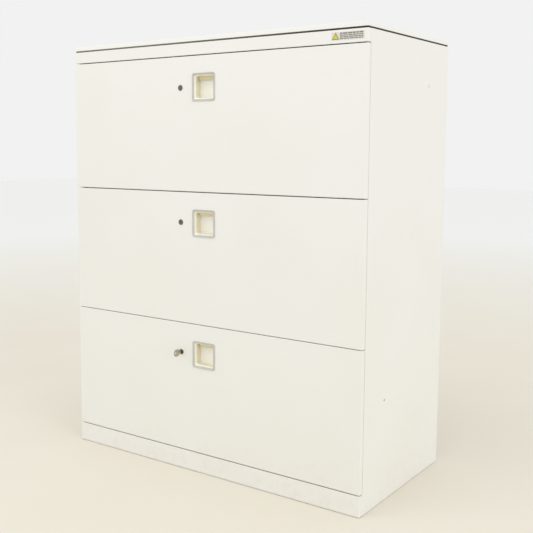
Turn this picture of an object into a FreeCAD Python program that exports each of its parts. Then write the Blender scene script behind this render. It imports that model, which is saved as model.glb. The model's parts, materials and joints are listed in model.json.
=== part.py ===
import FreeCAD, Part
import os

# Three-drawer lateral filing cabinet of folded sheet steel, in millimetres.
# X runs to the right as seen from the front, the front faces -Y and the floor is Z = 0.
# The origin is on the floor, under the middle of everything, the key included.

# ---- driving dimensions ----
WIDTH = 900.0
DEPTH = 450.0
KEY_OUT = 29.0            # how far the key stands out of the front plane

FLOOR_GAP = 1.0           # the levelling feet lift the cabinet this far
KICK_HEIGHT = 50.25
SHADOW_GAP = 2.5          # between neighbouring fronts
CLOSE_GAP = 1.75          # between the bottom and middle fronts
DRAWER_HEIGHT = 338.0     # one drawer front
HEADER_HEIGHT = 29.5
SPACER_HEIGHT = 4.0       # dark recessed strip under the top board
BOARD_THICK = 10.5
SPACER_INSET = 2.0

SHEET = 1.2               # carcass sheet
THIN = 1.0                # drawer sheet
EDGE_RADIUS = 1.4         # bend radius on the fronts
OVERLAY = 15.0            # the fronts stand this far ahead of the side panels
SKIN_DEPTH = 12.5         # depth of a drawer front's outer pan
RETURN = 13.0             # inward lip on the side panels' front and rear edges

HANDLE_DROP = 77.25       # handle centre below the top edge of its front
BEZEL_WIDE, BEZEL_TALL = 71.0, 69.5
BEZEL_BAND = 5.0          # width of the bezel's face
BEZEL_PROUD = 2.2         # at the bezel's outer edge, from which its face slopes in
LIP_NARROWS, LIP_DEPTH = 3.0, 4.0     # the cup's mouth slopes in by this much over this depth
CUP_DEPTH = 22.0
CUP_WALL = 2.0
LOCK_X = -74.0
LOCK_FACE_RADIUS = 7.25
SHAFT_RISE = 42.0         # latch shaft above the handle centre
SHAFT_SET_BACK = 14.0     # latch shaft behind the front plane
SHAFT_RADIUS = 3.0
LEVER_HALF = 24.0         # half the lever's width
LEVER_SHOWS = 9.5         # how far the lever hangs into the cup
LEVER_LEANS = 5.2         # how far back its lower edge leans
RUNNING_GAP = 0.08        # radial clearance of shafts in their holes

SLIDE_RISE = 50.0         # slide centre above the lower edge of its front
SLIDE_WIDE = 13.0         # 45 mm tall ball-bearing slide, three members
OUTER_HALF, MIDDLE_HALF, INNER_HALF = 22.5, 18.1, 13.7
OUTER_LENGTH, MIDDLE_LENGTH, INNER_LENGTH = 410.0, 400.0, 390.0
BALL_RADIUS = 1.4
CAGE_LENGTH = 190.0
BALLS_PER_ROW = 6

FOOT_X, FOOT_SET_BACK = 428.0, 66.0
FOOT_RADIUS = 20.0
JOINING_HOLE_RADIUS = 2.5
JOINING_HOLE = (118.0, 250.7)     # behind the front plane, above the floor
ANCHOR_HOLE_RADIUS = 3.5
ANCHOR_SPACING, ANCHOR_HEIGHT = 760.0, 1060.0

# ---- places worked out from them ----
HALF = WIDTH / 2
FRONT = (KEY_OUT - DEPTH) / 2
BACK = FRONT + DEPTH
KICK_TOP = FLOOR_GAP + KICK_HEIGHT
BOTTOM_BASE = KICK_TOP + SHADOW_GAP
MIDDLE_BASE = BOTTOM_BASE + DRAWER_HEIGHT + CLOSE_GAP
TOP_BASE = MIDDLE_BASE + DRAWER_HEIGHT + SHADOW_GAP
HEADER_BASE = TOP_BASE + DRAWER_HEIGHT + SHADOW_GAP
CARCASS_TOP = HEADER_BASE + HEADER_HEIGHT
BOARD_BASE = CARCASS_TOP + SPACER_HEIGHT
PANEL_FRONT = FRONT + OVERLAY
WINDOW_WIDE = BEZEL_WIDE - 2 * BEZEL_BAND
WINDOW_TALL = BEZEL_TALL - 2 * BEZEL_BAND
CUP_WIDE = WINDOW_WIDE - 2 * LIP_NARROWS
CUP_TALL = WINDOW_TALL - 2 * LIP_NARROWS
INNER_FACE = HALF - SHEET
BACK_PANEL_FRONT = BACK - 2 * SHEET

WALL_OUT = 423.0                     # outside of a drawer's side walls
SLIDE_OUT = WALL_OUT + SLIDE_WIDE    # back of the slide's outer member
LINER_HALF = 420.0
LINER_INSET = 12.0        # the liner stands this far inside the skin's upper and lower edges
LINER_BACK = FRONT + 28.0
WALL_BACK = FRONT + 425.0
TRAY_RISE = 22.0
BEAD_COUNT = 6            # stiffening beads pressed into a drawer's bottom
BEAD_HALF, BEAD_HIGH = 4.0, 1.5
WALL_TOP_RISE = 270.0
BACK_WALL_RISE = 200.0
RAIL_PLACES = (FRONT + 52.0, FRONT + 380.0)    # middles of the two hanging rails
SLIDE_FRONT = FRONT + 20.0
CAGE_FRONT = FRONT + 126.0
POST_PLACES = (FRONT + 18.0, FRONT + 400.0)
POST_DEEP = 30.0
HOOK_IN, HOOK_OUT = 427.0, 430.0
HOOK_BACK = FRONT + 31.0
HOOK_LIP = 8.0            # top of the hook's lip above the shaft
KEEPER_GAP = 0.5          # keeper edge above the hook's lip

SIDES = (-1, 1)
DRAWERS = ("bottom", "middle", "top")


def box(x0, x1, y0, y1, z0, z1):
    corner = FreeCAD.Vector(min(x0, x1), y0, z0)
    return Part.makeBox(abs(x1 - x0), y1 - y0, z1 - z0, corner)


def cylinder_y(radius, x, z, y0, y1):
    return Part.makeCylinder(radius, y1 - y0, FreeCAD.Vector(x, y0, z), FreeCAD.Vector(0, 1, 0))


def cylinder_x(radius, y, z, x0, x1):
    return Part.makeCylinder(radius, x1 - x0, FreeCAD.Vector(x0, y, z), FreeCAD.Vector(1, 0, 0))


def cylinder_z(radius, x, y, z0, z1):
    return Part.makeCylinder(radius, z1 - z0, FreeCAD.Vector(x, y, z0))


def round_edges(shape, radius, wanted):
    """Round the edges whose middle point passes the wanted test."""
    return shape.makeFillet(radius, [edge for edge in shape.Edges if wanted(edge.CenterOfMass)])


def rounded_block(wide, tall, corner, x, z, y0, y1):
    """A block along Y with its four long edges rounded."""
    block = box(x - wide / 2, x + wide / 2, y0, y1, z - tall / 2, z + tall / 2)
    middle = (y0 + y1) / 2
    inside = (wide / 2 - 0.01, tall / 2 - 0.01)
    return round_edges(block, corner, lambda p: abs(p.y - middle) < 0.01
                       and abs(p.x - x) > inside[0] and abs(p.z - z) > inside[1])


def pan(x0, x1, y0, y1, z0, z1, sheet):
    """A folded pan that is open at the back, with its front edges and corners bent round."""
    outer = round_edges(box(x0, x1, y0, y1, z0, z1), EDGE_RADIUS, lambda p: p.y < y1 - 0.01)
    return outer.cut(box(x0 + sheet, x1 - sheet, y0 + sheet, y1 + 1, z0 + sheet, z1 - sheet))


def save(node, *solids):
    shape = solids[0] if len(solids) == 1 else Part.makeCompound(solids)
    shape.exportStep("parts/" + node + ".step")


# ---- carcass ----

def side_panel(side):
    """One side: a flat sheet with a lip turned in along its front and rear edges."""
    panel = box(side * INNER_FACE, side * HALF, PANEL_FRONT, BACK, FLOOR_GAP, CARCASS_TOP)
    for y in (PANEL_FRONT, BACK - SHEET):
        panel = panel.fuse(box(side * (HALF - RETURN), side * HALF, y, y + SHEET, FLOOR_GAP, CARCASS_TOP))
    panel = panel.removeSplitter()
    middle = (FLOOR_GAP + CARCASS_TOP) / 2
    panel = round_edges(panel, 1.0, lambda p: abs(p.z - middle) < 0.01 and abs(p.x) > HALF - 0.01)
    set_back, height = JOINING_HOLE
    reach = sorted((side * (INNER_FACE - 1), side * (HALF + 1)))
    return panel.cut(cylinder_x(JOINING_HOLE_RADIUS, FRONT + set_back, height, *reach))


def back_panel():
    panel = box(-INNER_FACE, INNER_FACE, BACK_PANEL_FRONT, BACK - SHEET, 20.0, CARCASS_TOP - SHEET)
    for side in SIDES:
        panel = panel.cut(cylinder_y(ANCHOR_HOLE_RADIUS, side * ANCHOR_SPACING / 2, ANCHOR_HEIGHT,
                                     BACK_PANEL_FRONT - 1, BACK + 1))
    return panel


def carcass_top():
    """Closing sheet under the top board, turned down at the front and the back."""
    y0, y1 = PANEL_FRONT + SHEET, BACK_PANEL_FRONT
    top = box(-INNER_FACE, INNER_FACE, y0, y1, CARCASS_TOP - SHEET, CARCASS_TOP)
    lip = 15.0
    inside = HALF - RETURN
    for y in (y0, y1 - SHEET):
        top = top.fuse(box(-inside, inside, y, y + SHEET, CARCASS_TOP - lip, CARCASS_TOP))
    return top.removeSplitter()


def top_spacer():
    reach = HALF - SPACER_INSET
    return box(-reach, reach, FRONT + SPACER_INSET, BACK - SPACER_INSET, CARCASS_TOP, BOARD_BASE)


def top_board():
    board = box(-HALF, HALF, FRONT, BACK, BOARD_BASE, BOARD_BASE + BOARD_THICK)
    return board.makeFillet(1.0, board.Edges)


def bottom_panel():
    panel = box(-INNER_FACE, INNER_FACE, PANEL_FRONT + SHEET, BACK_PANEL_FRONT, KICK_TOP - SHEET, KICK_TOP)
    inside = HALF - RETURN
    front_edge = box(-inside, inside, PANEL_FRONT, PANEL_FRONT + SHEET, KICK_TOP - SHEET, KICK_TOP)
    return panel.fuse(front_edge).removeSplitter()


def cross_rail(gap_middle):
    """Folded channel behind the gap between two fronts, open at the back."""
    reach, tall, deep = SLIDE_OUT, 20.0, 40.0
    y0 = PANEL_FRONT + SHEET
    z0 = gap_middle - tall / 2
    rail = box(-reach, reach, y0, y0 + deep, z0, z0 + tall)
    return rail.cut(box(-reach - 1, reach + 1, y0 + SHEET, y0 + deep + 1, z0 + SHEET, z0 + tall - SHEET))


def slide_post(side, y0, keepers):
    """Upright channel that the slides are screwed to; a front post carries the latch keepers."""
    post = box(side * SLIDE_OUT, side * INNER_FACE, y0, y0 + POST_DEEP, KICK_TOP, CARCASS_TOP - SHEET)
    post = post.cut(box(side * (SLIDE_OUT + SHEET), side * HALF, y0 + SHEET, y0 + POST_DEEP - SHEET,
                        KICK_TOP - 1, CARCASS_TOP))
    if keepers:
        for base in drawer_bases():
            edge = handle_height(base) + SHAFT_RISE + HOOK_LIP + KEEPER_GAP
            tab = box(side * (HOOK_IN - 1), side * SLIDE_OUT, FRONT + 24.0, FRONT + 26.5, edge, edge + 10.0)
            post = post.fuse(tab)
    return post.removeSplitter()


def foot_bracket(x, y):
    """Plate under the bottom panel with the threaded boss that takes a foot's stem."""
    boss_base, plate_base = 25.0, KICK_TOP - SHEET - 3.0
    bracket = box(x - 17.0, x + 17.0, y - 20.0, y + 20.0, plate_base, KICK_TOP - SHEET)
    bracket = bracket.fuse(cylinder_z(9.0, x, y, boss_base, plate_base + 1))
    return bracket.cut(cylinder_z(5.0 + RUNNING_GAP, x, y, boss_base - 1, KICK_TOP - SHEET - 0.5))


def levelling_foot(x, y):
    """Round pad with a cone and a threaded stem, drawn as a plain rod."""
    pad_height, cone_top, stem_top = 2.4, 8.0, 44.0
    foot = cylinder_z(FOOT_RADIUS, x, y, 0.0, pad_height)
    cone = Part.makeCone(FOOT_RADIUS - 4.0, 6.5, cone_top - pad_height, FreeCAD.Vector(x, y, pad_height))
    return foot.fuse(cone).fuse(cylinder_z(5.0, x, y, cone_top - 1, stem_top))


# ---- drawer heights ----

def drawer_bases():
    return [BOTTOM_BASE, MIDDLE_BASE, TOP_BASE]


def handle_height(base):
    return base + DRAWER_HEIGHT - HANDLE_DROP


# ---- drawer box ----

def front_skin(base):
    """Outer pan of the front, its rear edges turned in to the liner and notched round the latch hooks."""
    skin = pan(-HALF, HALF, FRONT, FRONT + SKIN_DEPTH, base, base + DRAWER_HEIGHT, THIN)
    height = handle_height(base)
    inside, back = HALF - THIN, FRONT + SKIN_DEPTH
    lips = box(-inside, inside, back - THIN, back, base + THIN, base + DRAWER_HEIGHT - THIN)
    lips = lips.cut(box(-LINER_HALF, LINER_HALF, back - 2, back + 1,
                        base + LINER_INSET, base + DRAWER_HEIGHT - LINER_INSET))
    notch_low, notch_high = height + SHAFT_RISE - 9.0, height + SHAFT_RISE + 11.0
    for side in SIDES:
        lips = lips.cut(box(side * (LINER_HALF - 1), side * (HOOK_OUT + 3.0), back - 2, back + 1,
                            notch_low, notch_high))
    skin = skin.fuse(lips).removeSplitter()
    window = rounded_block(WINDOW_WIDE + 5.0, WINDOW_TALL + 5.0, 5.0, 0.0, height, FRONT - 1, FRONT + 3)
    return skin.cut(window).cut(cylinder_y(6.7, LOCK_X, height, FRONT - 1, FRONT + 3))


def front_liner(base):
    """Inner pan of the front, open towards the skin, with bearing holes for the latch shaft."""
    z0, z1 = base + LINER_INSET, base + DRAWER_HEIGHT - LINER_INSET
    liner = box(-LINER_HALF, LINER_HALF, FRONT + THIN, LINER_BACK, z0, z1)
    inside = LINER_HALF - THIN
    liner = liner.cut(box(-inside, inside, FRONT, LINER_BACK - THIN, z0 + THIN, z1 - THIN))
    shaft_y, shaft_z = FRONT + SHAFT_SET_BACK, handle_height(base) + SHAFT_RISE
    return liner.cut(cylinder_x(SHAFT_RADIUS + RUNNING_GAP, shaft_y, shaft_z, -HALF, HALF))


def bead_bar(x, centre_z, radius):
    """A long bar with round ends, from the front to the back of a drawer."""
    y0, y1 = LINER_BACK + 40.0, WALL_BACK - 40.0
    bar = cylinder_y(radius, x, centre_z, y0, y1)
    for y in (y0, y1):
        bar = bar.fuse(Part.makeSphere(radius, FreeCAD.Vector(x, y, centre_z)))
    return bar


def drawer_bottom(base):
    """Flat sheet with round-ended beads pressed up along it."""
    inside, top = WALL_OUT - THIN, base + TRAY_RISE + THIN
    sheet = box(-inside, inside, LINER_BACK, WALL_BACK, top - THIN, top)
    room = box(-inside, inside, LINER_BACK, WALL_BACK, top - THIN, top + BEAD_HIGH + 1)
    radius = (BEAD_HALF ** 2 + BEAD_HIGH ** 2) / (2 * BEAD_HIGH)
    centre_z = top + BEAD_HIGH - radius
    for number in range(BEAD_COUNT):
        x = 2 * inside * ((number + 0.5) / BEAD_COUNT - 0.5)
        sheet = sheet.fuse(bead_bar(x, centre_z, radius).common(room))
        sheet = sheet.cut(bead_bar(x, centre_z, radius - THIN))
    return sheet.removeSplitter()


def drawer_side_wall(side, base):
    """Upright side with its top edge turned in, and a tab turned in at its front that meets the liner."""
    low, top = base + TRAY_RISE, base + WALL_TOP_RISE
    tab_wide, tab_above = 18.0, 8.0
    wall = box(side * (WALL_OUT - THIN), side * WALL_OUT, LINER_BACK, WALL_BACK, low, top)
    lip = box(side * (WALL_OUT - RETURN), side * WALL_OUT, LINER_BACK, WALL_BACK, top - THIN, top)
    tab = box(side * (WALL_OUT - tab_wide), side * WALL_OUT, LINER_BACK, LINER_BACK + THIN,
              low + tab_above, top)
    return wall.fuse(lip).fuse(tab).removeSplitter()


def drawer_back_wall(base):
    inside = WALL_OUT - THIN
    return box(-inside, inside, WALL_BACK - THIN, WALL_BACK, base + TRAY_RISE + THIN, base + BACK_WALL_RISE)


def hanging_rail(y, base):
    """Flat bar across the drawer, under the lips of its side walls, for hanging folders."""
    inside, top = WALL_OUT - THIN, base + WALL_TOP_RISE - THIN
    thick, tall = 3.0, 14.0
    return box(-inside, inside, y - thick / 2, y + thick / 2, top - tall, top)


# ---- recessed handle and latch ----

def rounded_outline(wide, tall, corner, x, y, z):
    """A closed wire in the plane at y, round a rectangle with rounded corners."""
    block = rounded_block(wide, tall, corner, x, z, y, y + 1)
    face = [face for face in block.Faces if abs(face.CenterOfMass.y - y) < 0.01][0]
    return face.OuterWire


def handle_bezel(base):
    """Frame round the handle: a flange whose face slopes in to the window, and a collar through the skin."""
    height = handle_height(base)
    face_y, inner_y, rim = FRONT - BEZEL_PROUD, FRONT - 0.3, 1.0
    flange = rounded_block(BEZEL_WIDE, BEZEL_TALL, 6.0, 0.0, height, face_y, FRONT)
    flange = round_edges(flange, 0.8, lambda p: p.y < face_y + 0.01)
    window = rounded_block(WINDOW_WIDE, WINDOW_TALL, 4.0, 0.0, height, FRONT - 3, FRONT + 3)
    outer = rounded_outline(BEZEL_WIDE - 2 * rim, BEZEL_TALL - 2 * rim, 5.0, 0.0, face_y, height)
    inner = rounded_outline(WINDOW_WIDE, WINDOW_TALL, 4.0, 0.0, inner_y, height)
    slope = Part.makeLoft([outer, inner], True)
    frame = flange.cut(slope).cut(window)
    collar = rounded_block(WINDOW_WIDE + 4.0, WINDOW_TALL + 4.0, 6.0, 0.0, height, FRONT, FRONT + THIN)
    return frame.fuse(collar.cut(window)).removeSplitter()


def handle_cup(base):
    """Finger cup behind the bezel: a flange, a mouth that slopes in, and a slot for the lever."""
    height = handle_height(base)
    mouth, lip_end = FRONT + THIN, FRONT + THIN + LIP_DEPTH
    flange = rounded_block(BEZEL_WIDE + 3.0, BEZEL_TALL + 3.0, 6.0, 0.0, height, mouth, mouth + 1.5)
    walls = rounded_block(WINDOW_WIDE + 2 * CUP_WALL, WINDOW_TALL + 2 * CUP_WALL, 6.0, 0.0, height,
                          mouth, FRONT + CUP_DEPTH + CUP_WALL)
    slope = Part.makeLoft([rounded_outline(WINDOW_WIDE, WINDOW_TALL, 4.0, 0.0, mouth, height),
                           rounded_outline(CUP_WIDE, CUP_TALL, 4.0, 0.0, lip_end, height)], True)
    hollow = rounded_block(CUP_WIDE, CUP_TALL, 4.0, 0.0, height, lip_end, FRONT + CUP_DEPTH)
    slot_base = height + CUP_TALL / 2 - 1
    reach = LEVER_HALF + 1.0
    slot = box(-reach, reach, FRONT + 6.0, FRONT + 17.5, slot_base, height + BEZEL_TALL / 2)
    return flange.fuse(walls).cut(slope).cut(hollow).cut(slot).removeSplitter()


def latch_lever(base):
    """Finger paddle that hangs in the top of the cup, leaning back, and grips the latch shaft."""
    height = handle_height(base)
    shaft_y, shaft_z = FRONT + SHAFT_SET_BACK, height + SHAFT_RISE
    ceiling = height + CUP_TALL / 2
    paddle_base = ceiling - LEVER_SHOWS
    front_y, thick = shaft_y - 2.5, 2.2
    slant = (LEVER_LEANS ** 2 + LEVER_SHOWS ** 2) ** 0.5
    step_y, step_z = thick * LEVER_SHOWS / slant, thick * LEVER_LEANS / slant
    toe_y = front_y + LEVER_LEANS
    outline = [(front_y, shaft_z), (front_y, ceiling), (toe_y, paddle_base),
               (toe_y + step_y, paddle_base + step_z), (shaft_y, ceiling), (shaft_y, shaft_z),
               (front_y, shaft_z)]
    profile = Part.Face(Part.makePolygon([FreeCAD.Vector(-LEVER_HALF, y, z) for y, z in outline]))
    paddle = profile.extrude(FreeCAD.Vector(2 * LEVER_HALF, 0, 0))
    hub = cylinder_x(SHAFT_RADIUS + 2.0, shaft_y, shaft_z, -LEVER_HALF, LEVER_HALF)
    lever = round_edges(paddle.fuse(hub).removeSplitter(), 0.8,
                        lambda p: abs(p.x) < 0.01 and p.z < paddle_base + thick / 2)
    return lever.cut(cylinder_x(SHAFT_RADIUS, shaft_y, shaft_z, -LEVER_HALF - 1, LEVER_HALF + 1))


def latch_shaft(base):
    """Rod across the front with a hook at each end, and a finger that the lock's cam can hold."""
    height = handle_height(base)
    shaft_y, shaft_z = FRONT + SHAFT_SET_BACK, height + SHAFT_RISE
    shaft = cylinder_x(SHAFT_RADIUS, shaft_y, shaft_z, -HOOK_OUT, HOOK_OUT)
    hub_radius, lip_thick = 6.0, 3.5
    arm_low, arm_high = shaft_z - 3.0, shaft_z + 3.0
    for side in SIDES:
        inner, outer = side * HOOK_IN, side * HOOK_OUT
        hub = cylinder_x(hub_radius, shaft_y, shaft_z, *sorted((inner, outer)))
        arm = box(inner, outer, shaft_y, HOOK_BACK, arm_low, arm_high)
        lip = box(inner, outer, HOOK_BACK - lip_thick, HOOK_BACK, arm_low, shaft_z + HOOK_LIP)
        shaft = shaft.fuse(hub).fuse(arm).fuse(lip)
    x0, x1 = LOCK_X - 5.0, LOCK_X + 5.0
    finger_top, finger_base = shaft_z - 1.0, height + 18.0
    finger_front, finger_thick = FRONT + 23.0, 2.0
    reach = box(x0, x1, shaft_y, finger_front, finger_top - finger_thick, finger_top)
    finger = box(x0, x1, finger_front, finger_front + finger_thick, finger_base, finger_top)
    return shaft.fuse(reach).removeSplitter(), finger


# ---- lock ----

def lock_cylinder(base):
    """Housing with a round face on the skin and a hexagon nut behind it."""
    height = handle_height(base)
    housing = cylinder_y(LOCK_FACE_RADIUS, LOCK_X, height, FRONT - 1.0, FRONT)
    housing = round_edges(housing, 0.4, lambda p: p.y < FRONT - 0.9)
    housing = housing.fuse(cylinder_y(6.5, LOCK_X, height, FRONT - 0.5, FRONT + 19.0))
    housing = housing.cut(cylinder_y(5.0 + RUNNING_GAP, LOCK_X, height, FRONT - 2, FRONT + 20))
    across = 9.5
    corners = Part.makePolygon([FreeCAD.Vector(LOCK_X, FRONT + THIN, height)
                                + FreeCAD.Rotation(FreeCAD.Vector(0, 1, 0), 60 * turn).multVec(
                                    FreeCAD.Vector(across, 0, 0)) for turn in range(7)])
    nut = Part.Face(corners).extrude(FreeCAD.Vector(0, 3.5, 0))
    return housing.removeSplitter(), nut.cut(cylinder_y(6.5, LOCK_X, height, FRONT, FRONT + 6))


def lock_plug(base):
    """Turning plug with its keyway, and the cam screwed to its inner end."""
    height = handle_height(base)
    cam_front, cam_back = FRONT + 20.0, FRONT + 22.0
    plug = cylinder_y(5.0, LOCK_X, height, FRONT - 1.0, cam_front)
    keyway = box(LOCK_X - 0.9, LOCK_X + 0.9, FRONT - 2, FRONT + 15.5, height - 3.8, height + 3.8)
    cam = cylinder_y(7.0, LOCK_X, height, cam_front, cam_back)
    cam = cam.fuse(box(LOCK_X - 22.0, LOCK_X, cam_front, cam_back, height - 4.0, height + 4.0))
    screw = cylinder_y(3.5, LOCK_X, height, cam_back, cam_back + 1.5)
    return plug.cut(keyway).fuse(cam).fuse(screw).removeSplitter()


def key():
    """Flat key in the bottom lock: a thin blade, a neck and an upright rounded bow with an eye."""
    height = handle_height(drawer_bases()[0])
    blade = box(LOCK_X - 0.5, LOCK_X + 0.5, FRONT - 5, FRONT + 14.5, height - 3.2, height + 3.2)
    neck = box(LOCK_X - 1.0, LOCK_X + 1.0, FRONT - 11.0, FRONT - 1.5, height - 4.2, height + 4.2)
    bow_front, bow_back, bow_half = FRONT - KEY_OUT, FRONT - 9.0, 9.0
    bow = box(LOCK_X - 1.0, LOCK_X + 1.0, bow_front, bow_back, height - bow_half, height + bow_half)
    bow = round_edges(bow, 6.5, lambda p: abs(p.x - LOCK_X) < 0.01)
    eye = cylinder_x(2.6, bow_front + 5.5, height, LOCK_X - 2, LOCK_X + 2)
    return blade.fuse(neck).fuse(bow).cut(eye).removeSplitter()


# ---- ball-bearing slides ----

def slide_channel(side, web, legs, half, leg_thick, y0, y1, middle):
    """A slide member: an upright web, with legs at its top and bottom reaching to one side."""
    member = box(side * web, side * legs, y0, y1, middle - half, middle + half)
    into = 1 if legs > web else -1
    return member.cut(box(side * (web + into * leg_thick), side * (legs + into), y0 - 1, y1 + 1,
                          middle - half + leg_thick, middle + half - leg_thick))


def slide_outer(side, middle):
    y0 = SLIDE_FRONT
    return slide_channel(side, SLIDE_OUT, WALL_OUT + 0.6, OUTER_HALF, SHEET, y0, y0 + OUTER_LENGTH, middle)


def slide_middle(side, middle):
    y0 = SLIDE_FRONT + 2
    web, legs = SLIDE_OUT - 2.6, WALL_OUT + 1.6
    return slide_channel(side, web, legs, MIDDLE_HALF, SHEET, y0, y0 + MIDDLE_LENGTH, middle)


def slide_inner(side, middle):
    y0 = LINER_BACK + 2
    return slide_channel(side, WALL_OUT, SLIDE_OUT - 5.0, INNER_HALF, SHEET, y0, y0 + INNER_LENGTH, middle)


def cage_strips(side, middle, gap_low, gap_high):
    """Ball cages of one slide: a thin strip above and one below, each with a row of balls."""
    level = (gap_low + gap_high) / 2
    ball_x = side * (WALL_OUT + 5.5)
    strips = []
    for up in (-1, 1):
        z = middle + up * level
        strip = box(ball_x - 3.0, ball_x + 3.0, CAGE_FRONT, CAGE_FRONT + CAGE_LENGTH, z - 0.5, z + 0.5)
        for number in range(BALLS_PER_ROW):
            y = CAGE_FRONT + CAGE_LENGTH * (number + 0.5) / BALLS_PER_ROW
            strip = strip.fuse(Part.makeSphere(BALL_RADIUS, FreeCAD.Vector(ball_x, y, z)))
        strips.append(strip)
    return strips


# ---- the whole cabinet ----

def build_carcass():
    save("left_side_panel", side_panel(-1))
    save("right_side_panel", side_panel(1))
    save("back_panel", back_panel())
    save("carcass_top", carcass_top())
    save("top_spacer", top_spacer())
    save("top_board", top_board())
    save("header_panel", pan(-HALF, HALF, FRONT, PANEL_FRONT, HEADER_BASE, CARCASS_TOP, SHEET))
    save("kick_panel", pan(-HALF, HALF, FRONT, PANEL_FRONT, FLOOR_GAP, KICK_TOP, SHEET))
    save("bottom_panel", bottom_panel())
    save("cross_rails", *[cross_rail(base - SHADOW_GAP / 2) for base in drawer_bases()[1:]])
    posts = [slide_post(side, y, y == POST_PLACES[0]) for side in SIDES for y in POST_PLACES]
    save("slide_posts", *posts)
    save("slide_outer_members", *[slide_outer(side, base + SLIDE_RISE)
                                  for base in drawer_bases() for side in SIDES])
    places = [(side * FOOT_X, y) for side in SIDES for y in (FRONT + FOOT_SET_BACK, BACK - FOOT_SET_BACK)]
    save("foot_brackets", *[foot_bracket(x, y) for x, y in places])
    save("levelling_feet", *[levelling_foot(x, y) for x, y in places])


def build_drawer(name, base):
    slides = base + SLIDE_RISE
    save(name + "_front_skin", front_skin(base))
    save(name + "_front_liner", front_liner(base))
    save(name + "_drawer_bottom", drawer_bottom(base))
    save(name + "_drawer_walls", *[drawer_side_wall(side, base) for side in SIDES], drawer_back_wall(base))
    save(name + "_hanging_rails", *[hanging_rail(y, base) for y in RAIL_PLACES])
    save(name + "_handle_bezel", handle_bezel(base))
    save(name + "_handle_cup", handle_cup(base))
    save(name + "_latch_lever", latch_lever(base))
    save(name + "_latch_shaft", *latch_shaft(base))
    save(name + "_lock_cylinder", *lock_cylinder(base))
    save(name + "_lock_plug", lock_plug(base))
    save(name + "_slide_inner_members", *[slide_inner(side, slides) for side in SIDES])
    save(name + "_slide_middle_members", *[slide_middle(side, slides) for side in SIDES])
    cage_gaps = {"outer": (MIDDLE_HALF, OUTER_HALF - SHEET), "inner": (INNER_HALF, MIDDLE_HALF - SHEET)}
    for place, (gap_low, gap_high) in cage_gaps.items():
        strips = [strip for side in SIDES for strip in cage_strips(side, slides, gap_low, gap_high)]
        save(name + "_" + place + "_ball_cages", *strips)


os.makedirs("parts", exist_ok=True)
build_carcass()
for drawer_name, drawer_base in zip(DRAWERS, drawer_bases()):
    build_drawer(drawer_name, drawer_base)
save("key", key())
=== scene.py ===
import math
import json
import bmesh
import bpy
from mathutils import Matrix, Vector


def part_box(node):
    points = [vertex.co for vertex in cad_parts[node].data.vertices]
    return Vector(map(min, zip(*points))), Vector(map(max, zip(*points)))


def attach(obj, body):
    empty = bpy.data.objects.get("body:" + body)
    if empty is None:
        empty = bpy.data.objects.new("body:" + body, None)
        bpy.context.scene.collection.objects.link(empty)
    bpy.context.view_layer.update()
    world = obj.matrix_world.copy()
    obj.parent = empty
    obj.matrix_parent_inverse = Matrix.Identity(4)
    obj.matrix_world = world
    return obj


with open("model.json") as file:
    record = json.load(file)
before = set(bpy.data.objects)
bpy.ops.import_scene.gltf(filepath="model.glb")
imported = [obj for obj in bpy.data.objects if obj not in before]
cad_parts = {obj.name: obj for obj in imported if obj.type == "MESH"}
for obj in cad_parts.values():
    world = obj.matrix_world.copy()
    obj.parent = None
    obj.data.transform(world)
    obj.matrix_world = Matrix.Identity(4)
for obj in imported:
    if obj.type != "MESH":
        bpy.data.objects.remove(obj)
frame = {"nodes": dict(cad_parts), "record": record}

bl_info = {
    "name": "Lateral Filing Cabinet",
    "version": (1, 0, 0),
    "blender": (4, 5, 0),
    "location": "View3D > Sidebar > Cabinet",
    "description": "Finishes and small fittings of a three-drawer lateral filing cabinet",
    "category": "Object",
}

MM = 0.001
DRAWERS = ("bottom", "middle", "top")
SIDES = (-1, 1)
CABINET = "cabinet"
PAINT_SLOT = "warm_white_paint"
ZINC_SLOT = "zinc_plated_steel"
GREY_SLOT = "grey_plastic"

# ---- places read from the frame ----
HEADER_LOW, HEADER_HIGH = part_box("header_panel")
SIDE_LOW, SIDE_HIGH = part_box("right_side_panel")
FRONT_Y = HEADER_LOW[1]
BACK_Y = SIDE_HIGH[1]
HALF_WIDTH = SIDE_HIGH[0]
PANEL_FRONT_Y = SIDE_LOW[1]

# ---- figures that several pieces share ----
LIP_MIDDLE = 6.5 * MM                # from a side's outer face to the middle of its folded lips
ROUND_SIDES = 32
SHARP_ANGLE = math.radians(40)       # edges sharper than this are rounded
SMOOTH_ANGLE = math.radians(35)      # faces that meet at less than this are shaded as one
FACING = 0.9                         # a face points along an axis if its normal has this much of it
MIX_SHARE, MIX_FIRST, MIX_SECOND, MIX_COLOUR = 0, 6, 7, 2      # a Mix node's sockets for colours


# ---- colour and node helpers ----

def linear(hex_colour):
    """An sRGB hex colour as the linear RGBA that shaders take."""
    channels = [int(hex_colour[i:i + 2], 16) / 255 for i in (0, 2, 4)]
    return [c / 12.92 if c <= 0.04045 else ((c + 0.055) / 1.055) ** 2.4 for c in channels] + [1.0]


def add_node(tree, kind, inputs=(), **settings):
    """Add a node, set its attributes, and link or set its inputs, which go by name or number."""
    node = tree.nodes.new(kind)
    for name, value in settings.items():
        setattr(node, name, value)
    for name, value in dict(inputs).items():
        if isinstance(value, bpy.types.NodeSocket):
            tree.links.new(value, node.inputs[name])
        else:
            node.inputs[name].default_value = value
    return node


def start_material(name):
    """A new material with one Principled shader, and the place on the piece that its patterns follow."""
    material = bpy.data.materials.new(name)
    material.use_nodes = True
    tree = material.node_tree
    tree.nodes.clear()
    shader = add_node(tree, "ShaderNodeBsdfPrincipled")
    add_node(tree, "ShaderNodeOutputMaterial", {"Surface": shader.outputs["BSDF"]})
    place = add_node(tree, "ShaderNodeTexCoord").outputs["Object"]
    return material, tree, shader, place


# ---- what the finishes share ----

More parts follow.
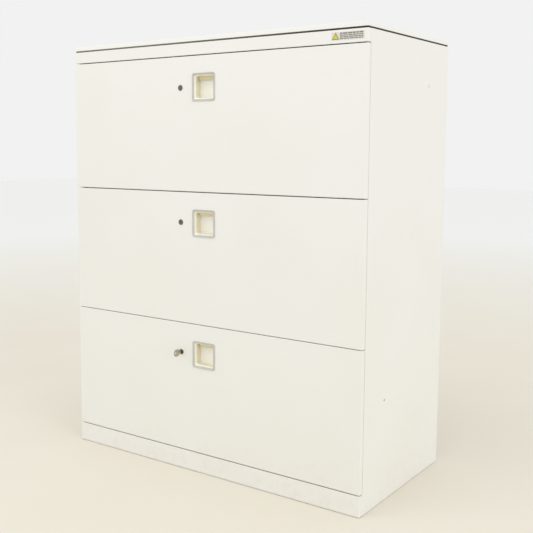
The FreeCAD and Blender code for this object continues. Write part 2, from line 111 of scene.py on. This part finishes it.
def patches(tree, place, size_mm, edges, amounts, detail=3.0, rough=0.5):
    """Soft patches about size_mm across, which go from one amount to another between two noise values."""
    blobs = add_node(tree, "ShaderNodeTexNoise", {
        "Vector": place, "Scale": 1.0 / (size_mm * MM), "Detail": detail, "Roughness": rough})
    spread = add_node(tree, "ShaderNodeMapRange", {
        "Value": blobs.outputs["Fac"], "From Min": edges[0], "From Max": edges[1],
        "To Min": amounts[0], "To Max": amounts[1]})
    return spread.outputs["Result"]


def mottle(tree, place, tone, stain, size_mm, edges, most, detail=3.0, rough=0.5):
    """A tone with soft patches of a stain about size_mm across, where the stain reaches the share `most`."""
    share = patches(tree, place, size_mm, edges, (0.0, most), detail, rough)
    mixed = add_node(tree, "ShaderNodeMix", {
        MIX_SHARE: share, MIX_FIRST: tone, MIX_SECOND: stain}, data_type="RGBA")
    return mixed.outputs[MIX_COLOUR]


def vary_gloss(tree, shader, place, size_mm, amounts, detail=3.0, rough=0.5):
    """Roughness that wanders between two amounts, as making and handling leave it."""
    gloss = patches(tree, place, size_mm, (0.3, 0.7), amounts, detail, rough)
    tree.links.new(gloss, shader.inputs["Roughness"])


def grain(tree, shader, place, size_mm, depth_mm, strength, detail=2.0, rough=0.5):
    """Fine relief whose grains are about size_mm across."""
    blobs = add_node(tree, "ShaderNodeTexNoise", {
        "Vector": place, "Scale": 1.0 / (size_mm * MM), "Detail": detail, "Roughness": rough})
    relief = add_node(tree, "ShaderNodeBump", {
        "Height": blobs.outputs["Fac"], "Distance": depth_mm * MM, "Strength": strength})
    tree.links.new(relief.outputs["Normal"], shader.inputs["Normal"])


# ---- materials ----

def powder_coat(name, colour, aged):
    """Polyester powder coat on sheet steel: a satin, faintly pebbled skin, yellowed a little with age."""
    material, tree, shader, place = start_material(name)
    tone = mottle(tree, place, colour, aged, 260, (0.35, 0.75), 0.35, 2)
    # Dust and scuffs lie on the lowest 120 mm and thin out upwards.
    height = add_node(tree, "ShaderNodeSeparateXYZ", {"Vector": place}).outputs["Z"]
    near_floor = add_node(tree, "ShaderNodeMapRange", {
        "Value": height, "From Min": 0.0, "From Max": 120 * MM, "To Min": 1.0, "To Max": 0.0})
    smudges = patches(tree, place, 18, (0.5, 0.85), (0.0, 0.28), 5, 0.62)
    dust = add_node(tree, "ShaderNodeMath", {
        0: near_floor.outputs["Result"], 1: smudges}, operation="MULTIPLY")
    dusty = add_node(tree, "ShaderNodeMix", {
        MIX_SHARE: dust.outputs["Value"], MIX_FIRST: tone, MIX_SECOND: linear("c6bca6")}, data_type="RGBA")
    tree.links.new(dusty.outputs[MIX_COLOUR], shader.inputs["Base Color"])
    vary_gloss(tree, shader, place, 45, (0.34, 0.44), 4, 0.6)
    # The pebble of a powder coat is about 0.5 mm; it is drawn at 2.2 mm so that it still shows.
    # The slow waves are the slight unevenness of a large thin panel.
    pebble = add_node(tree, "ShaderNodeTexNoise", {"Vector": place, "Scale": 1.0 / (2.2 * MM), "Detail": 2})
    waves = add_node(tree, "ShaderNodeTexNoise", {"Vector": place, "Scale": 1.0 / (240 * MM), "Detail": 1})
    wave_height = 14.0               # in heights of the pebble
    skin = add_node(tree, "ShaderNodeMath", {
        0: waves.outputs["Fac"], 1: wave_height, 2: pebble.outputs["Fac"]}, operation="MULTIPLY_ADD")
    relief = add_node(tree, "ShaderNodeBump", {
        "Height": skin.outputs["Value"], "Distance": 0.02 * MM, "Strength": 0.5})
    tree.links.new(relief.outputs["Normal"], shader.inputs["Normal"])
    return material


def laminate(name, colour):
    """Melamine laminate pressed on particle board: smoother than the paint, with a very fine fleck."""
    material, tree, shader, place = start_material(name)
    tone = mottle(tree, place, colour, linear("cfc9ba"), 2.5, (0.42, 0.7), 0.12, 3, 0.6)
    tree.links.new(tone, shader.inputs["Base Color"])
    vary_gloss(tree, shader, place, 90, (0.30, 0.40), 4, 0.55)
    # The press plate's texture is about 0.2 mm; it is drawn at 0.9 mm so that it still shows.
    grain(tree, shader, place, 0.9, 0.006, 0.5)
    return material


def dark_strip(name):
    """Black edge banding set back under the board: matt, dusty in places, and drawn paler towards its left
    end, which is a painted highlight.
    """
    material, tree, shader, place = start_material(name)
    tone = mottle(tree, place, linear("1f1a16"), linear("463e36"), 30, (0.4, 0.8), 0.35, 5, 0.6)
    # Painted highlight: the strip is drawn paler towards its left end, where it looks lighter.
    along = add_node(tree, "ShaderNodeSeparateXYZ", {"Vector": place}).outputs["X"]
    painted_highlight_to_left = add_node(tree, "ShaderNodeMapRange", {
        "Value": along, "From Min": 0.93 * HALF_WIDTH, "From Max": -0.5 * HALF_WIDTH, "To Max": 0.55})
    tone = add_node(tree, "ShaderNodeMix", {
        MIX_SHARE: painted_highlight_to_left.outputs["Result"], MIX_FIRST: tone, MIX_SECOND: linear("9c958a")}, data_type="RGBA")
    tree.links.new(tone.outputs[MIX_COLOUR], shader.inputs["Base Color"])
    shader.inputs["Roughness"].default_value = 0.7
    return material


def mould_skin(tree, shader, place, gloss):
    """The uneven sheen and the fine spark grain that a steel mould gives."""
    vary_gloss(tree, shader, place, 9, (gloss - 0.05, gloss + 0.06), 4, 0.6)
    # Spark grain is about 0.1 mm; it is drawn at 0.7 mm so that it still shows.
    grain(tree, shader, place, 0.7, 0.008, 0.4, 1)


def moulded_plastic(name, colour, aged, gloss, most_aged):
    """Injection-moulded ABS: a soft sheen over a colour that has yellowed in patches."""
    material, tree, shader, place = start_material(name)
    tone = mottle(tree, place, colour, aged, 28, (0.3, 0.75), most_aged)
    tree.links.new(tone, shader.inputs["Base Color"])
    mould_skin(tree, shader, place, gloss)
    return material


def yellowed_plastic_with_painted_shade(name, clean, aged):
    """Cream ABS that has yellowed unevenly. Faces that look to the front or back are drawn in the clean
    colour, which is painted light, and faces that look sideways lean to the aged colour, which is painted
    shade.
    """
    material, tree, shader, place = start_material(name)
    # Painted light and shade: the clean colour goes on faces that look to the front or back, like a lit back
    # wall, and the aged colour on side walls, ceilings and floors, like shaded walls of a cup.
    normal = add_node(tree, "ShaderNodeTexCoord").outputs["Normal"]
    ahead = add_node(tree, "ShaderNodeSeparateXYZ", {"Vector": normal}).outputs["Y"]
    ahead = add_node(tree, "ShaderNodeMath", {0: ahead}, operation="ABSOLUTE").outputs["Value"]
    painted_side_shade = add_node(tree, "ShaderNodeMapRange", {
        "Value": ahead, "From Min": 0.2, "From Max": 1.0, "To Min": 1.0, "To Max": 0.03})
    blotches = patches(tree, place, 28, (0.3, 0.75), (0.6, 1.0))
    share = add_node(tree, "ShaderNodeMath", {
        0: painted_side_shade.outputs["Result"], 1: blotches}, operation="MULTIPLY")
    tone = add_node(tree, "ShaderNodeMix", {
        MIX_SHARE: share.outputs["Value"], MIX_FIRST: clean, MIX_SECOND: aged}, data_type="RGBA")
    tree.links.new(tone.outputs[MIX_COLOUR], shader.inputs["Base Color"])
    mould_skin(tree, shader, place, 0.32)
    return material


def zinc_plate(name):
    """Zinc-plated rolled steel: blue-grey metal with faint lengthwise draw lines and cloudy passivation."""
    material, tree, shader, place = start_material(name)
    tone = mottle(tree, place, linear("b4b6b5"), linear("c9c6ba"), 35, (0.3, 0.7), 0.6)
    tree.links.new(tone, shader.inputs["Base Color"])
    shader.inputs["Metallic"].default_value = 1.0
    # Draw lines are about 0.1 mm apart; they are drawn 1.2 mm apart so that they still show.
    stretch = add_node(tree, "ShaderNodeMapping", {"Vector": place, "Scale": (1.0, 0.04, 1.0)})
    drawn = stretch.outputs["Vector"]
    vary_gloss(tree, shader, drawn, 1.2, (0.28, 0.42), 3, 0.6)
    grain(tree, shader, drawn, 1.2, 0.01, 0.5, 3, 0.6)
    return material


def dull_nickel(name, colour, worn):
    """Nickel-plated die casting: dull grey metal, warmer and paler where keys and fingers have rubbed it."""
    material, tree, shader, place = start_material(name)
    tone = mottle(tree, place, colour, worn, 4, (0.4, 0.75), 0.8, 5, 0.65)
    tree.links.new(tone, shader.inputs["Base Color"])
    shader.inputs["Metallic"].default_value = 1.0
    vary_gloss(tree, shader, place, 2, (0.3, 0.5))
    grain(tree, shader, place, 0.6, 0.01, 0.4)
    return material


def black_foot(name):
    """Black moulded foot on a blackened stem: matt and scuffed."""
    material, tree, shader, place = start_material(name)
    tone = mottle(tree, place, linear("1d1b19"), linear("55504a"), 5, (0.5, 0.85), 0.5, 5, 0.65)
    tree.links.new(tone, shader.inputs["Base Color"])
    shader.inputs["Roughness"].default_value = 0.6
    grain(tree, shader, place, 1.5, 0.03, 0.5, 3)
    return material


def buffer_rubber(name):
    """Grey synthetic rubber, moulded: matt, with dust caught in it."""
    material, tree, shader, place = start_material(name)
    tone = mottle(tree, place, linear("6f6d68"), linear("97938a"), 3, (0.4, 0.8), 0.6, 4, 0.6)
    tree.links.new(tone, shader.inputs["Base Color"])
    shader.inputs["Roughness"].default_value = 0.75
    grain(tree, shader, place, 0.8, 0.02, 0.4)
    return material


def printed_film(name, colour, painted_highlight_to_left):
    """Printed vinyl film: flat ink, a little faded and uneven."""
    material, tree, shader, place = start_material(name)
    tone = mottle(tree, place, colour, painted_highlight_to_left, 6, (0.35, 0.75), 0.5, 4, 0.6)
    tree.links.new(tone, shader.inputs["Base Color"])
    shader.inputs["Roughness"].default_value = 0.35
    return material


def pale_floor(name):
    """Sealed screed: matt and pale, with broad clouds in it."""
    material, tree, shader, place = start_material(name)
    tone = mottle(tree, place, linear("e6dfd0"), linear("e9e3d6"), 400, (0.3, 0.7), 0.5)
    # Far off, the floor pales to the sky's white, so that no hard horizon stands behind the cabinet.
    away = add_node(tree, "ShaderNodeVectorMath", {0: place}, operation="LENGTH").outputs["Value"]
    far = add_node(tree, "ShaderNodeMapRange", {"Value": away, "From Min": 1.6, "From Max": 6.0})
    tone = add_node(tree, "ShaderNodeMix", {
        MIX_SHARE: far.outputs["Result"], MIX_FIRST: tone, MIX_SECOND: linear("f5f5f3")}, data_type="RGBA")
    tree.links.new(tone.outputs[MIX_COLOUR], shader.inputs["Base Color"])
    shader.inputs["Roughness"].default_value = 0.8
    return material


def nodes_of_slot(slot_name):
    """The CAD nodes whose recorded material is this one."""
    return [part["node"] for part in frame["record"]["subparts"] if part["material_slot"] == slot_name]


def dress(nodes, material):
    """Give these CAD nodes one material."""
    for name in nodes:
        mesh = frame["nodes"][name].data
        mesh.materials.clear()
        mesh.materials.append(material)


# ---- modelling helpers ----

def deselect_all():
    if bpy.context.mode != "OBJECT":
        bpy.ops.object.mode_set(mode="OBJECT")
    bpy.ops.object.select_all(action="DESELECT")


def pick(piece):
    """Make a piece the only one selected, and the active one."""
    deselect_all()
    piece.select_set(True)
    bpy.context.view_layer.objects.active = piece


def name_piece(name):
    """Name the active piece and its mesh."""
    piece = bpy.context.active_object
    piece.name = name
    piece.data.name = name
    return piece


def upright_to(direction):
    """The turn that takes +Z to a direction."""
    return Vector(direction).to_track_quat("Z", "Y").to_matrix().to_4x4()


def block(name, low, high):
    """A box between two corners, with its place in its mesh."""
    deselect_all()
    low, high = Vector(low), Vector(high)
    bpy.ops.mesh.primitive_cube_add(size=1.0, location=(low + high) / 2)
    piece = name_piece(name)
    piece.scale = high - low
    bpy.ops.object.transform_apply(location=True, rotation=True, scale=True)
    return piece


def rod(name, centre, turn, radius, length, sides=ROUND_SIDES):
    """A short cylinder, turned from +Z and centred on a place; three sides make a triangular plate."""
    deselect_all()
    bpy.ops.mesh.primitive_cylinder_add(vertices=sides, radius=radius, depth=length)
    piece = name_piece(name)
    piece.matrix_world = Matrix.Translation(centre) @ turn
    bpy.ops.object.transform_apply(location=True, rotation=True, scale=True)
    return piece


def inset_faces(piece, wanted, thickness, depth):
    """Inset only the faces that pass the wanted test, and raise or sink them by a depth."""
    bpy.ops.object.mode_set(mode="EDIT")
    bpy.ops.mesh.select_mode(type="FACE")
    mesh = bmesh.from_edit_mesh(piece.data)
    for face in mesh.faces:
        face.select_set(bool(wanted(face)))
    mesh.select_flush_mode()
    bmesh.update_edit_mesh(piece.data)
    bpy.ops.mesh.inset(thickness=thickness, depth=depth)
    bpy.ops.object.mode_set(mode="OBJECT")


def bevel_piece(piece, width, segments):
    """Round the sharp edges and smooth the shading between them."""
    pick(piece)
    edge = piece.modifiers.new("edge", "BEVEL")
    edge.width, edge.segments, edge.limit_method, edge.angle_limit = width, segments, "ANGLE", SHARP_ANGLE
    bpy.ops.object.modifier_apply(modifier=edge.name)
    bpy.ops.object.shade_smooth_by_angle(angle=SMOOTH_ANGLE)


def finish_piece(piece, material, body):
    """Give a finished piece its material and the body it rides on."""
    piece.data.materials.clear()
    piece.data.materials.append(material)
    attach(piece, body)


def join_pieces(pieces, name):
    """Join pieces to one with a new name."""
    pick(pieces[0])
    for piece in pieces:
        piece.select_set(True)
    bpy.ops.object.join()
    return name_piece(name)


def copy_to_places(model, places, name):
    """Copies of a piece modelled at the origin along +Z, one at each (place, direction), as one piece."""
    twins = []
    for place, direction in places:
        twin = model.copy()
        twin.data = model.data.copy()
        twin.data.transform(Matrix.Translation(place) @ upright_to(direction))
        bpy.context.scene.collection.objects.link(twin)
        twins.append(twin)
    return join_pieces(twins, name)


def remove_piece(piece):
    mesh = piece.data
    bpy.data.objects.remove(piece)
    bpy.data.meshes.remove(mesh)


def cut_with(piece, cutter):
    """Cut one piece out of another, and throw the cutter away."""
    pick(piece)
    cut = piece.modifiers.new("cut", "BOOLEAN")
    cut.operation, cut.solver, cut.object = "DIFFERENCE", "EXACT", cutter
    bpy.ops.object.modifier_apply(modifier=cut.name)
    remove_piece(cutter)


def pan_head_screw(radius):
    """A domed head standing on the origin along +Z, with a cross recess."""
    high = 0.55 * radius
    head = rod("screw", (0, 0, high / 2), upright_to((0, 0, 1)), radius, high)
    bevel_piece(head, 0.62 * high, 4)
    half_long, half_wide, deep = 0.58 * radius, 0.1 * radius, 0.7 * high
    # The second slot is a little less deep, so that the two cuts don't share a floor.
    for reach_x, reach_y, depth in ((half_long, half_wide, deep), (half_wide, half_long, 0.97 * deep)):
        cut_with(head, block("slot", (-reach_x, -reach_y, high - depth), (reach_x, reach_y, high + radius)))
    bpy.ops.object.shade_smooth_by_angle(angle=SMOOTH_ANGLE)
    return head


# ---- properties ----

def colour_property(name, description, hex_colour):
    return bpy.props.FloatVectorProperty(name=name, description=description, subtype="COLOR", size=4,
                                         min=0.0, max=1.0, default=linear(hex_colour))


def length_property(name, description, millimetres):
    return bpy.props.FloatProperty(name=name, description=description, unit="LENGTH",
                                   default=millimetres * MM)


class CabinetFinish(bpy.types.PropertyGroup):
    paint: colour_property("Paint", "Powder coat of the carcass and the drawers", "edebe6")
    paint_aged: colour_property("Aged paint", "The same powder coat where it has yellowed", "e8e5da")
    board: colour_property("Board", "Laminate of the top board", "efeeea")
    # On the cups, the clean colour is also painted light on faces that look to the front, and the aged colour
    # is also painted shade on the side walls, on top of real patchy yellowing.
    cup: colour_property("Cup", "Plastic of the handle cups where it is rubbed clean", "fdfbf3")
    cup_aged: colour_property("Aged cup", "The same plastic where it has yellowed, and the levers", "e6dcb9")
    bezel: colour_property("Bezel", "Plastic of the frames round the handles", "c6c4bf")
    lock: colour_property("Lock", "Plating of the locks", "6e6a62")
    key: colour_property("Key", "Worn plating of the key", "bab3a0")


class CabinetSizes(bpy.types.PropertyGroup):
    sticker_width: length_property("Sticker width", "Width of the sticker on the header", 81.0)
    sticker_height: length_property("Sticker height", "Height of the sticker", 18.0)
    cap_radius: length_property("Cap radius", "Radius of the joining-hole caps", 4.5)
    screw_radius: length_property("Screw radius", "Radius of a pan-head screw's head", 4.0)
    rear_screws: bpy.props.IntProperty(
        name="Rear screws", description="Number of screws up each rear edge", default=7, min=2)
    buffer_radius: length_property("Buffer radius", "Radius of a rubber buffer", 5.0)


# ---- finishes of the CAD nodes ----

class CABINET_OT_coat_steel(bpy.types.Operator):
    """Powder-coat the carcass and the drawers"""
    bl_idname = "cabinet.coat_steel"
    bl_label = "Coat Steel"

    def execute(self, context):
        finish = context.scene.cabinet_finish
        dress(nodes_of_slot(PAINT_SLOT), powder_coat("Powder coat", finish.paint, finish.paint_aged))
        return {"FINISHED"}


class CABINET_OT_finish_board(bpy.types.Operator):
    """Laminate the top board and darken the strip under it"""
    bl_idname = "cabinet.finish_board"
    bl_label = "Finish Board"

    def execute(self, context):
        board = laminate("Melamine laminate", context.scene.cabinet_finish.board)
        dress(nodes_of_slot("white_laminate"), board)
        dress(nodes_of_slot("dark_edge_strip"), dark_strip("Black edge banding"))
        return {"FINISHED"}


class CABINET_OT_finish_handles(bpy.types.Operator):
    """Mould the bezels, cups and levers"""
    bl_idname = "cabinet.finish_handles"
    bl_label = "Finish Handles"

    def execute(self, context):
        finish = context.scene.cabinet_finish
        bezel = moulded_plastic("Grey ABS", finish.bezel, linear("aaa79e"), gloss=0.38, most_aged=0.4)
        dress(nodes_of_slot(GREY_SLOT), bezel)
        cream = nodes_of_slot("cream_plastic")
        # The cups carry painted shade on their side walls and painted light on their front-facing faces, over
        # patchy yellowing.
        cup = yellowed_plastic_with_painted_shade("Yellowed ABS with painted shade", finish.cup, finish.cup_aged)
        dress([node for node in cream if node.endswith("_handle_cup")], cup)
        lever = moulded_plastic("Aged lever ABS", finish.cup_aged, linear("d8cfa6"), gloss=0.32,
                                most_aged=0.5)
        dress([node for node in cream if node.endswith("_latch_lever")], lever)
        return {"FINISHED"}


class CABINET_OT_finish_hardware(bpy.types.Operator):
    """Plate the slides, locks and key and blacken the feet"""
    bl_idname = "cabinet.finish_hardware"
    bl_label = "Finish Hardware"

    def execute(self, context):
        finish = context.scene.cabinet_finish
        dress(nodes_of_slot(ZINC_SLOT), zinc_plate("Zinc plate"))
        dress(nodes_of_slot("lock_nickel"), dull_nickel("Dull nickel", finish.lock, linear("9a968b")))
        dress(nodes_of_slot("key_metal"), dull_nickel("Worn nickel silver", finish.key, linear("c9c2a4")))
        dress(nodes_of_slot("foot_black"), black_foot("Black foot"))
        return {"FINISHED"}


# ---- small pieces ----

class CABINET_OT_add_sticker(bpy.types.Operator):
    """Stick the plain notice, with bars for its lines, at the right end of the header"""
    bl_idname = "cabinet.add_sticker"
    bl_label = "Add Sticker"

    def execute(self, context):
        sizes = context.scene.cabinet_sizes
        film, ink = 0.15 * MM, 0.06 * MM
        from_right, from_top, triangle_up = 10 * MM, 5 * MM, 7.0 * MM
        words_from_left, words_from_right, words_from_top = 21 * MM, 2.5 * MM, 1.5 * MM
        right, top = HALF_WIDTH - from_right, HEADER_HIGH[2] - from_top
        left, bottom = right - sizes.sticker_width, top - sizes.sticker_height
        face = FRONT_Y - film
        backing = block("sticker_backing", (left, face, bottom), (right, FRONT_Y, top))
        bevel_piece(backing, 0.4 * film, 1)
        white = printed_film("White film", linear("dddbd2"), linear("cfcbbd"))
        finish_piece(backing, white, CABINET)

        edge_radius, inner_radius = 10.5 * MM, 8.0 * MM
        centre = Vector((left + edge_radius, face - ink / 2, bottom + triangle_up))
        edge = self.triangle("sticker_triangle_edge", centre, edge_radius, ink)
        olive = printed_film("Olive ink", linear("6f6a2a"), linear("8d8750"))
        finish_piece(edge, olive, CABINET)
        inner = self.triangle("sticker_triangle", centre - Vector((0, ink, 0)), inner_radius, ink)
        yellow = printed_film("Yellow ink", linear("cdbd2e"), linear("d8cc62"))
        finish_piece(inner, yellow, CABINET)

        lines = self.lines(left + words_from_left, right - words_from_right, top - words_from_top, face, ink)
        bevel_piece(lines, ink / 3, 1)
        grey = printed_film("Grey ink", linear("7c7973"), linear("9a968e"))
        finish_piece(lines, grey, CABINET)
        return {"FINISHED"}

    def triangle(self, name, centre, radius, thick):
        """A thin upright triangle that faces the front, point up."""
        piece = rod(name, centre, Matrix.Rotation(math.radians(90), 4, "X"), radius, thick, sides=3)
        bevel_piece(piece, 0.3 * thick, 1)
        return piece

    def lines(self, left, right, top, face, ink):
        """Rows of bars of uneven lengths, which stand for lines of words."""
        rows = ((3.2, 8.0), (2.4, 6.0), (2.4, 9.0), (2.4, 7.0))      # height and common length of bars, in mm
        shares = (0.75, 1.0, 1.25, 1.5)                              # of that length, by turns
        row_gap, bar_gap, shortest = 1.3 * MM, 1.1 * MM, 3 * MM
        bars = []
        for row, (tall, long) in enumerate(rows):
            start, number = left, 0
            while start < right - shortest:
                share = shares[(3 * number + 2 * row) % len(shares)]
                end = min(start + share * long * MM, right)
                bars.append(block("bar", (start, face - ink, top - tall * MM), (end, face, top)))
                start, number = end + bar_gap, number + 1
            top -= tall * MM + row_gap
        return join_pieces(bars, "sticker_lines")


class CABINET_OT_add_hole_caps(bpy.types.Operator):
    """Cap the upper joining holes in both sides"""
    bl_idname = "cabinet.add_hole_caps"
    bl_label = "Add Hole Caps"

    def execute(self, context):
        radius = context.scene.cabinet_sizes.cap_radius
        thick, rim, raised, edge = 0.8 * MM, 1.2 * MM, 0.35 * MM, 0.25 * MM
        behind_front, height = 332 * MM, 998 * MM
        material = moulded_plastic("White cap plastic", linear("e9e6dc"), linear("ded9c6"), gloss=0.4,
                                   most_aged=0.4)
        for side, word in zip(SIDES, ("left", "right")):
            centre = Vector((side * (HALF_WIDTH + thick / 2), FRONT_Y + behind_front, height))
            cap = rod(word + "_hole_cap", centre, upright_to((side, 0, 0)), radius, thick)
            inset_faces(cap, lambda face: face.normal.x * side > FACING, rim, raised)
            bevel_piece(cap, edge, 3)
            finish_piece(cap, material, CABINET)
        return {"FINISHED"}


class CABINET_OT_add_rear_screws(bpy.types.Operator):
    """Screw the back panel's edges to the side panels' rear lips"""
    bl_idname = "cabinet.add_rear_screws"
    bl_label = "Add Rear Screws"

    def execute(self, context):
        sizes = context.scene.cabinet_sizes
        lowest, highest = SIDE_LOW[2] + 60 * MM, SIDE_HIGH[2] - 15 * MM
        step = (highest - lowest) / (sizes.rear_screws - 1)
        places = [((side * (HALF_WIDTH - LIP_MIDDLE), BACK_Y, lowest + step * number), (0, 1, 0))
                  for side in SIDES for number in range(sizes.rear_screws)]
        model = pan_head_screw(sizes.screw_radius)
        screws = copy_to_places(model, places, "rear_screws")
        remove_piece(model)
        finish_piece(screws, zinc_plate("Zinc-plated screw"), CABINET)
        return {"FINISHED"}


class CABINET_OT_add_drawer_screws(bpy.types.Operator):
    """Screw each drawer's side walls to its slides and to the front's liner"""
    bl_idname = "cabinet.add_drawer_screws"
    bl_label = "Add Drawer Screws"

    def execute(self, context):
        model = pan_head_screw(context.scene.cabinet_sizes.screw_radius)
        material = zinc_plate("Zinc-plated drawer screw")
        sheet, tab_middle = 1.0 * MM, 9 * MM
        along_slide = (0.1, 0.5, 0.9)
        up_tab = (40 * MM, 215 * MM)
        for drawer in DRAWERS:
            wall_low, wall_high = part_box(drawer + "_drawer_walls")
            slide_low, slide_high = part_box(drawer + "_slide_inner_members")
            level = (slide_low[2] + slide_high[2]) / 2
            length = slide_high[1] - slide_low[1]
            places = []
            for side in SIDES:
                inner_x = side * (wall_high[0] - sheet)
                places += [((inner_x, slide_low[1] + share * length, level), (-side, 0, 0))
                           for share in along_slide]
                tab_x = side * (wall_high[0] - tab_middle)
                places += [((tab_x, wall_low[1] + sheet, wall_low[2] + up), (0, 1, 0))
                           for up in up_tab]
            screws = copy_to_places(model, places, drawer + "_drawer_screws")
            finish_piece(screws, material, drawer + "_drawer")
        remove_piece(model)
        return {"FINISHED"}


class CABINET_OT_add_buffers(bpy.types.Operator):
    """Stick the rubber buffers that the drawer fronts close against"""
    bl_idname = "cabinet.add_buffers"
    bl_label = "Add Buffers"

    def execute(self, context):
        radius = context.scene.cabinet_sizes.buffer_radius
        thick, rim, dished, edge, from_corner = 2.1 * MM, 0.4 * radius, -0.3 * MM, 0.5 * MM, 18 * MM
        model = rod("buffer", (0, 0, thick / 2), upright_to((0, 0, 1)), radius, thick)
        inset_faces(model, lambda face: face.normal.z > FACING, rim, dished)
        bevel_piece(model, edge, 3)
        places = []
        for drawer in DRAWERS:
            low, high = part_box(drawer + "_front_skin")
            places += [((side * (HALF_WIDTH - LIP_MIDDLE), PANEL_FRONT_Y, z), (0, -1, 0))
                       for side in SIDES for z in (low[2] + from_corner, high[2] - from_corner)]
        buffers = copy_to_places(model, places, "drawer_buffers")
        remove_piece(model)
        finish_piece(buffers, buffer_rubber("Grey rubber"), CABINET)
        return {"FINISHED"}


# ---- stage ----

class CABINET_OT_build_stage(bpy.types.Operator):
    """Lay the floor and set the lights, the sky and the camera"""
    bl_idname = "cabinet.build_stage"
    bl_label = "Build Stage"

    def execute(self, context):
        scene = context.scene
        deselect_all()
        bpy.ops.mesh.primitive_plane_add(size=30.0, location=(0, 0, 0))
        floor = name_piece("floor")
        floor.data.materials.append(pale_floor("Pale floor"))

        world = bpy.data.worlds.new("soft white room")
        scene.world = world
        world.use_nodes = True
        background = world.node_tree.nodes["Background"]
        background.inputs["Color"].default_value = linear("f1f2f1")
        background.inputs["Strength"].default_value = 1.0

        # A wide lamp overhead, and two far ones as wide as windows, whose light has no edge on the floor.
        ceiling = self.hang_lamp(scene, "ceiling", "AREA", (0.2, -1.6, 3.6), (0, 0, 0.6), 28.0)
        ceiling.shape, ceiling.size = "DISK", 3.0
        window = self.hang_lamp(scene, "window", "SUN", (-3.0, -3.0, 1.4), (0, 0, 0), 0.17)
        window.angle = math.radians(28.0)
        room = self.hang_lamp(scene, "room", "SUN", (3.8, -0.8, 1.1), (0, 0, 0), 0.56)
        room.angle = math.radians(37.0)

        self.place_camera(scene)
        scene.view_settings.view_transform = "Standard"
        return {"FINISHED"}

    def hang_lamp(self, scene, name, kind, place, target, strength):
        """Hang a cool white lamp at a place, aimed at a target, and hand back its data."""
        data = bpy.data.lights.new(name, kind)
        data.energy = strength
        data.color = linear("f4f8ff")[:3]
        lamp = bpy.data.objects.new(name, data)
        scene.collection.objects.link(lamp)
        lamp.location = place
        lamp.rotation_mode = "QUATERNION"
        lamp.rotation_quaternion = (Vector(place) - Vector(target)).to_track_quat("Z", "Y")
        return data

    def place_camera(self, scene):
        """Stand the camera ahead of the cabinet and to its right, a little above its middle."""
        data = bpy.data.cameras.new("camera")
        data.sensor_width, data.lens = 36.0, 57.185
        data.shift_x, data.shift_y = 0.06735, -0.05206
        data.clip_end = 100.0
        camera = bpy.data.objects.new("camera", data)
        scene.collection.objects.link(camera)
        front_left_corner = Vector((-HALF_WIDTH, FRONT_Y, 0.0))
        place = front_left_corner + Vector((1.75438, -1.67831, 0.84885))
        round_by, look_down, roll = 36.0226, 6.2457, 0.1457
        turn = (Matrix.Rotation(math.radians(round_by), 4, "Z")
                @ Matrix.Rotation(math.radians(90 - look_down), 4, "X")
                @ Matrix.Rotation(math.radians(roll), 4, "Z"))
        camera.matrix_world = Matrix.Translation(place) @ turn
        scene.camera = camera


class CABINET_PT_panel(bpy.types.Panel):
    """Finishes, fittings and stage of the cabinet"""
    bl_idname = "CABINET_PT_panel"
    bl_label = "Filing Cabinet"
    bl_space_type = "VIEW_3D"
    bl_region_type = "UI"
    bl_category = "Cabinet"

    def draw(self, context):
        for group in (context.scene.cabinet_finish, context.scene.cabinet_sizes):
            for name in group.__annotations__:
                self.layout.prop(group, name)
        for operator in OPERATORS:
            self.layout.operator(operator.bl_idname)


OPERATORS = (
    CABINET_OT_coat_steel,
    CABINET_OT_finish_board,
    CABINET_OT_finish_handles,
    CABINET_OT_finish_hardware,
    CABINET_OT_add_sticker,
    CABINET_OT_add_hole_caps,
    CABINET_OT_add_rear_screws,
    CABINET_OT_add_drawer_screws,
    CABINET_OT_add_buffers,
    CABINET_OT_build_stage,
)
CLASSES = (CabinetFinish, CabinetSizes) + OPERATORS + (CABINET_PT_panel,)


def register():
    for cls in CLASSES:
        bpy.utils.register_class(cls)
    bpy.types.Scene.cabinet_finish = bpy.props.PointerProperty(type=CabinetFinish)
    bpy.types.Scene.cabinet_sizes = bpy.props.PointerProperty(type=CabinetSizes)


def unregister():
    del bpy.types.Scene.cabinet_sizes
    del bpy.types.Scene.cabinet_finish
    for cls in reversed(CLASSES):
        bpy.utils.unregister_class(cls)


def main():
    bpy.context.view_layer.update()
    register()
    bpy.ops.cabinet.coat_steel()
    bpy.ops.cabinet.finish_board()
    bpy.ops.cabinet.finish_handles()
    bpy.ops.cabinet.finish_hardware()
    bpy.ops.cabinet.add_sticker()
    bpy.ops.cabinet.add_hole_caps()
    bpy.ops.cabinet.add_rear_screws()
    bpy.ops.cabinet.add_drawer_screws()
    bpy.ops.cabinet.add_buffers()
    bpy.ops.cabinet.build_stage()


if __name__ == "__main__":
    main()
